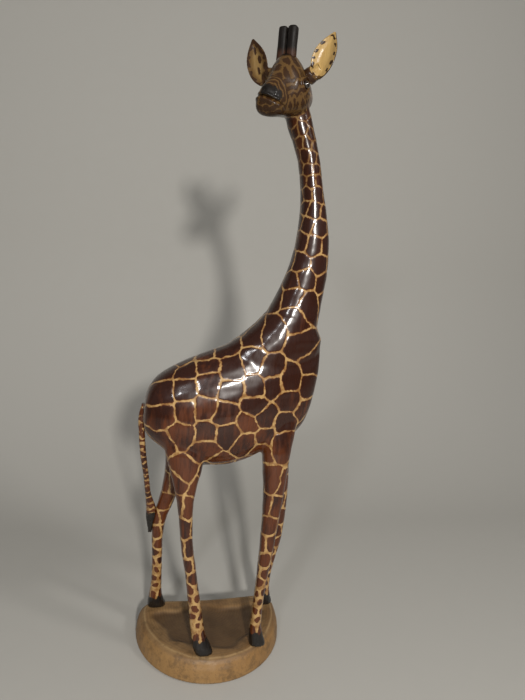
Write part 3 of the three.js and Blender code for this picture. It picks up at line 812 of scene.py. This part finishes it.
class GIRAFFE_OT_figure(bpy.types.Operator):
    """Carve the torso, neck, head and legs as one flowing body and part it at its joints"""

    bl_idname = "giraffe.figure"
    bl_label = "Carve figure"

    def execute(self, context):
        settings = context.scene.giraffe_carving
        skin = joined_figure(settings)
        parts = split_legs(between(skin, None, JOINTS["torso"]))
        parts["torso"] = between(skin, JOINTS["torso"], JOINTS["neck"])
        parts["neck"] = between(skin, JOINTS["neck"], JOINTS["head"])
        parts["head"] = between(skin, JOINTS["head"], None)
        bmesh.ops.subdivide_edges(parts["head"], edges=parts["head"].edges[:], cuts=1, use_grid_fill=True)
        shapes = {name: to_mesh(bm.copy(), name) for name, bm in parts.items()}
        seeds = patch_seeds(shapes)
        coat = material(lacquered_coat)
        for name, bm in parts.items():
            finish_piece(name, carve_piece(name, bm, seeds, settings), coat)
        return {"FINISHED"}


def leaf_frame(ear):
    """Where a leaf-shaped ear lies: its lower end, its length and its three directions."""
    low = HEAD_FRAME @ (Vector(ear["low"]) * MM)
    tip = HEAD_FRAME @ (Vector(ear["tip"]) * MM)
    along = (tip - low).normalized()
    facing = HEAD_TURN.to_3x3() @ Vector((1, ear["turn"], 0))
    facing = (facing - along * facing.dot(along)).normalized()
    return low, (tip - low).length, along, facing, facing.cross(along)


class GIRAFFE_OT_ears(bpy.types.Operator):
    """Shape the two leaf-shaped ears, hollow in front, with a marked rim"""

    bl_idname = "giraffe.ears"
    bl_label = "Carve ears"

    def execute(self, context):
        settings = context.scene.giraffe_carving
        for name, ear in EARS.items():
            mesh = with_modifiers(to_mesh(merged_copy(name), name), voxels(settings.small_grain))
            mesh = biggest_island(mesh)
            set_points(mesh, smoothed(mesh, 14))
            low, span, along, facing, across = leaf_frame(ear)
            points = points_of(mesh)
            normals = normals_of(mesh)
            offset = points - np.array(low)
            up = offset @ np.array(along) / span
            side = offset @ np.array(across) / MM
            half = np.interp(up, LEAF_SHARES, LEAF_HALVES) * ear["wide"]
            rim = half - np.abs(side)
            front = step(normals @ np.array(facing), 0.15, 0.5) * step(rim, 0.0, 1.5) * step(up, 0.02, 0.08)
            hollow = front * step(rim, 0.0, 15.0) * step(up, 0.05, 0.3) * (1 - step(up, 0.8, 1.0))
            points -= np.outer(hollow * 1.7 * MM, np.array(facing))
            root = np.array(HEAD_FRAME @ (Vector(ear["root"]) * MM))
            meet = np.array(HEAD_FRAME @ (Vector(ear["meet"]) * MM))
            run = (points - root) @ (meet - root) / np.dot(meet - root, meet - root)
            spoke = points - root - np.outer(run, meet - root)
            thick = np.linalg.norm(spoke, axis=1) / MM
            stalk = step(thick, 5.5, 7.0) * (1 - step(thick, 8.5, 11))
            stalk = stalk * (1 - step(run, 0.3, 0.9)) * step(run, 0, 0.1) * (1 - front)
            points += spoke / thick[:, None] / MM * (stalk * 4.0)[:, None] * MM
            points += np.array(HEAD_PLACE - low).reshape(1, 3) / (HEAD_PLACE - low).length * 1.2 * MM
            place = points / MM
            rise = up * span / MM + 2.2 * wave(place, 18, 80)
            beat = np.abs((rise / 11.5) % 1 - 0.5) * 11.5 - 3.1 + 1.3 * wave(place, 9, 82)
            dashes = np.minimum(beat, 2.2 - np.abs(rim - 4.2 - 0.9 * wave(place, 11, 84)))
            if ear["gold"] < 1:
                dots = spots(side + 30, up * span / MM, (10.0, 15.0), (3.0, 6.0), 2.0)
                dashes = np.maximum(dashes, np.where(side < 2, dots, -2.0))
                dashes = np.maximum(dashes, 1.5 - np.abs(rim - 2.8) + 1.2 * wave(place, 12, 83))
            back_edge = 1.4 + 2.0 * wave(place, 10, 86)
            set_points(mesh, points)
            set_values(
                mesh,
                edge=np.where(front > 0.5, dashes, back_edge),
                tone=np.full(len(points), 0.8),
                soot=0.25 * (1 - front) * step(wave(place, 30, 87), -1.2, 0.2),
                ground=np.where(front > 0.5, ear["gold"] + 0.14 * (step(rim, 5, 13) - 1), 0.45),
            )
            finish_piece(name, mesh, material(lacquered_coat))
        return {"FINISHED"}


class GIRAFFE_OT_horns(bpy.types.Operator):
    """Shape the two blunt horns with flat tops and grooved sides"""

    bl_idname = "giraffe.horns"
    bl_label = "Carve horns"

    def execute(self, context):
        settings = context.scene.giraffe_carving
        for name in ("horn_left", "horn_right"):
            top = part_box(name)[1].z / MM
            mesh = with_modifiers(to_mesh(merged_copy(name), name), voxels(settings.small_grain))
            mesh = biggest_island(mesh)
            set_points(mesh, smoothed(mesh, 3))
            points = points_of(mesh)
            place = points / MM
            normals = normals_of(mesh)
            sides = 1 - step(np.abs(normals[:, 2]), 0.3, 0.7)
            out = (0.2 * wave(place * (1, 1, 0.1), 5, 45) + 0.15) * sides
            points += normals * out[:, None] * MM
            points[:, 2] -= 1.2 * MM
            set_points(mesh, points)
            set_values(mesh, soot=step(place[:, 2], top - 40, top - 24))
            finish_piece(name, mesh, material(blackened_wood))
        return {"FINISHED"}


class GIRAFFE_OT_eyes(bpy.types.Operator):
    """Set a small glossy bead in each eye socket"""

    bl_idname = "giraffe.eyes"
    bl_label = "Set eyes"

    def execute(self, context):
        for name in ("eye_left", "eye_right"):
            low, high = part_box(name)
            bm = bmesh.new()
            bmesh.ops.create_uvsphere(bm, u_segments=40, v_segments=24, radius=(high.z - low.z) / 2)
            bmesh.ops.translate(bm, verts=bm.verts, vec=(low + high) / 2)
            for face in bm.faces:
                face.smooth = True
            finish_piece(name, to_mesh(bm, name), material(eye_bead))
        return {"FINISHED"}


class GIRAFFE_OT_tail(bpy.types.Operator):
    """Shape the banded tail and its dark tuft beside the hock"""

    bl_idname = "giraffe.tail"
    bl_label = "Carve tail"

    def execute(self, context):
        settings = context.scene.giraffe_carving
        low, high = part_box("tail")
        mesh = with_modifiers(to_mesh(merged_copy("tail"), "tail"), voxels(settings.small_grain))
        mesh = biggest_island(mesh)
        set_points(mesh, smoothed(mesh, 16))
        points = points_of(mesh)
        place = points / MM
        height = place[:, 2]
        tuft_top = low.z / MM + 42
        ragged = 2 * wave(place, 8, 33)
        tuft = 1 - step(height, tuft_top - 4 + ragged, tuft_top + 2 + ragged)
        beat = np.abs(((height + 3.0 * wave(place, 13, 34)) / 12.0) % 1 - 0.5) * 12.0
        edge = beat - 1.7 - 1.3 * wave(place, 8, 35)
        strands = step(wave(place * (1, 1, 0.15), 4, 36), 0.0, 0.7)
        out = -0.25 * (1 - step(edge, -0.5, 0.5)) - 0.6 * tuft * strands
        points += normals_of(mesh) * out[:, None] * MM
        set_points(mesh, points)
        tone = np.full(len(points), 0.7)
        set_values(mesh, edge=edge, tone=tone, soot=tuft * 0.95, ground=np.zeros(len(points)))
        finish_piece("tail", mesh, material(lacquered_coat))
        return {"FINISHED"}


def rim_distance(place):
    """Millimetres in from the edge of the log slice: the bark arc at the front, the sawn chord behind."""
    low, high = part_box("base")
    radius = high.x / MM
    centre = radius + low.y / MM
    arc = radius - np.hypot(place[:, 0], place[:, 1] - centre)
    chord = high.y / MM - place[:, 1]
    return -7.0 * np.log(np.exp(-arc / 7.0) + np.exp(-chord / 7.0))


class GIRAFFE_OT_base(bpy.types.Operator):
    """Shape the log slice: a scooped top, a rim with wear and a painted highlight along its ridge, and an
    uneven side
    """

    bl_idname = "giraffe.base"
    bl_label = "Carve base"

    def execute(self, context):
        settings = context.scene.giraffe_carving
        mesh = with_modifiers(to_mesh(merged_copy("base"), "base"), voxels(settings.base_grain))
        mesh = biggest_island(mesh)
        set_points(mesh, smoothed(mesh, 16))
        points = points_of(mesh)
        place = points / MM
        normals = normals_of(mesh)
        inward = rim_distance(place) + 5.0 * wave(place * (1, 1, 0), 55, 100)
        rim = settings.rim_width / MM
        top = step(place[:, 2], BASE_TOP - 8, BASE_TOP - 3) * step(normals[:, 2], 0.3, 0.8)
        scoop = step(inward, rim - 4, rim + 12) * top
        for name in LEGS:
            low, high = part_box(name)
            sole = points_of(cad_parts[name].data) / MM
            sole = sole[np.abs(sole[:, 2] - low.z / MM) < 25]
            foot = np.append(sole[:, :2].mean(0), 0)
            scoop *= step(np.linalg.norm(place * (1, 1, 0) - foot, axis=1), 14, 26)
        ripple = 0.35 * wave(place, 40, 103) + 0.2 * wave(place, 16, 104)
        points[:, 2] -= scoop * settings.dish_depth
        points[:, 2] -= top * MM * (0.35 + 0.3 * ripple) * step(inward, 14, 22)
        side = (1 - top) * step(place[:, 2], 2, 6)
        out = side * (1.1 * ripple - 0.9) + 0.35 * side * np.exp(-(((place[:, 2] - 33) / 2.0) ** 2))
        points += normals * out[:, None] * MM
        points[place[:, 2] < 0.6, 2] = 0.0
        set_points(mesh, points)
        # Pale line along the rim's ridge: painted highlight, partly wear.
        from_worn = (rim_distance(place) - 14 - 0.6 * wave(place, 30, 106)) / 1.5
        worn = np.exp(-(from_worn**2)) * step(place[:, 2], 30, 36)
        set_values(mesh, scoop=scoop, side=side, worn=worn)
        finish_piece("base", mesh, material(log_slice))
        return {"FINISHED"}


class GIRAFFE_OT_dowels(bpy.types.Operator):
    """Give the hidden dowels their bare wood"""

    bl_idname = "giraffe.dowels"
    bl_label = "Finish dowels"

    def execute(self, context):
        wood = material(dowel_wood)
        for name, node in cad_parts.items():
            if "dowel" in name:
                for material_slot in node.material_slots:
                    material_slot.material = wood
        return {"FINISHED"}


CAMERA_PLACE = Vector((-0.1321, -0.7796, 0.690))
CAMERA_FORWARD = Vector((0.220, 0.958, -0.1825))
CAMERA_UP = Vector((-0.047, 0.197, 0.979))
CAMERA_LENS = 26.0
SENSOR_HEIGHT = 36.0

# Metres: where each light hangs and what it points at.
KEY_PLACE = (0.04, -1.95, 1.15)
FILL_PLACE = (-0.95, -1.75, 1.5)
RIGHT_PLACE = (1.5, -1.2, 2.0)
AIM = (0.0, 0.0, 0.5)
LOW_AIM = (0.0, 0.0, 0.4)


def add_light(name, size, power, place, target, tint=(1, 1, 1)):
    data = bpy.data.lights.new(name, "AREA")
    data.shape = "DISK"
    data.size = size
    data.energy = power
    data.color = tint
    light = bpy.data.objects.new(name, data)
    bpy.context.scene.collection.objects.link(light)
    light.location = place
    light.rotation_euler = (Vector(target) - Vector(place)).to_track_quat("-Z", "Y").to_euler()


class GIRAFFE_OT_stage(bpy.types.Operator):
    """Set the pale floor and backdrop, the soft lights and the camera"""

    bl_idname = "giraffe.stage"
    bl_label = "Set stage"

    def execute(self, context):
        stage = context.scene.giraffe_stage
        bm = bmesh.new()
        depth, reach, height = 1.1, 9.0, 6.0
        corner = [bm.verts.new((-reach, y, z)) for y, z in ((-reach, 0), (depth, 0), (depth, height))]
        edges = [bm.edges.new(pair) for pair in zip(corner, corner[1:])]
        made = bmesh.ops.extrude_edge_only(bm, edges=edges)
        moved = [item for item in made["geom"] if isinstance(item, bmesh.types.BMVert)]
        bmesh.ops.translate(bm, verts=moved, vec=(2 * reach, 0, 0))
        low = [vert for vert in bm.verts if abs(vert.co.y - depth) < 1e-6 and abs(vert.co.z) < 1e-6]
        fold = [edge for edge in bm.edges if all(vert in low for vert in edge.verts)]
        bmesh.ops.bevel(bm, geom=fold, offset=0.7, segments=24, profile=0.5, affect="EDGES", material=-1)
        for face in bm.faces:
            face.smooth = True
        bmesh.ops.translate(bm, verts=bm.verts, vec=(0, 0, -0.0003))
        floor = bpy.data.objects.new("floor", to_mesh(bm, "floor"))
        context.scene.collection.objects.link(floor)
        paper = Nodes("floor_paper")
        fleck = paper.noise(paper.object_place(), 30, 2.0)
        tint = paper.mix(paper.span(fleck, 0.3, 0.7, 0.0, 0.06), rgba(stage.floor), (0.5, 0.48, 0.44, 1.0))
        floor.data.materials.append(paper.surface(tint, paper.span(fleck, 0.3, 0.7, 0.7, 0.8)))

        world = bpy.data.worlds.new("studio")
        world.use_nodes = True
        sky = world.node_tree.nodes["Background"]
        sky.inputs["Color"].default_value = (1.0, 0.985, 0.96, 1.0)
        sky.inputs["Strength"].default_value = stage.sky
        context.scene.world = world
        add_light("key", 0.15, stage.key_power, KEY_PLACE, AIM, (1.0, 0.965, 0.91))
        add_light("fill", 0.22, 0.7 * stage.fill_power, FILL_PLACE, AIM, (0.97, 0.98, 1.0))
        add_light("right", 0.4, 1.1 * stage.fill_power, RIGHT_PLACE, LOW_AIM, (1.0, 0.97, 0.93))

        data = bpy.data.cameras.new("camera")
        data.lens = CAMERA_LENS
        data.sensor_fit = "VERTICAL"
        data.sensor_height = SENSOR_HEIGHT
        data.clip_start = 0.02
        data.dof.use_dof = False
        camera = bpy.data.objects.new("camera", data)
        context.scene.collection.objects.link(camera)
        forward = CAMERA_FORWARD.normalized()
        right = forward.cross(CAMERA_UP).normalized()
        up = right.cross(forward)
        turn = Matrix((right, up, -forward)).transposed()
        camera.matrix_world = Matrix.Translation(CAMERA_PLACE) @ turn.to_4x4()
        context.scene.camera = camera
        context.scene.view_settings.view_transform = "Standard"
        return {"FINISHED"}


class GIRAFFE_PT_panel(bpy.types.Panel):
    """Steps that build the giraffe"""

    bl_label = "Carved giraffe"
    bl_idname = "GIRAFFE_PT_panel"
    bl_space_type = "VIEW_3D"
    bl_region_type = "UI"
    bl_category = "Giraffe"

    def draw(self, context):
        for operator in OPERATORS:
            self.layout.operator(operator.bl_idname)


OPERATORS = (
    GIRAFFE_OT_figure,
    GIRAFFE_OT_ears,
    GIRAFFE_OT_horns,
    GIRAFFE_OT_eyes,
    GIRAFFE_OT_tail,
    GIRAFFE_OT_base,
    GIRAFFE_OT_dowels,
    GIRAFFE_OT_stage,
)
GROUPS = {
    "giraffe_carving": GiraffeCarving,
    "giraffe_colours": GiraffeColours,
    "giraffe_stage": GiraffeStage,
}


def register():
    for item in (*GROUPS.values(), *OPERATORS, GIRAFFE_PT_panel):
        bpy.utils.register_class(item)
    for name, group in GROUPS.items():
        setattr(bpy.types.Scene, name, bpy.props.PointerProperty(type=group))


def unregister():
    for name in GROUPS:
        delattr(bpy.types.Scene, name)
    for item in reversed((*GROUPS.values(), *OPERATORS, GIRAFFE_PT_panel)):
        bpy.utils.unregister_class(item)


def main():
    register()
    for operator in OPERATORS:
        getattr(bpy.ops.giraffe, operator.bl_idname.split(".")[1])()


if __name__ == "__main__":
    main()
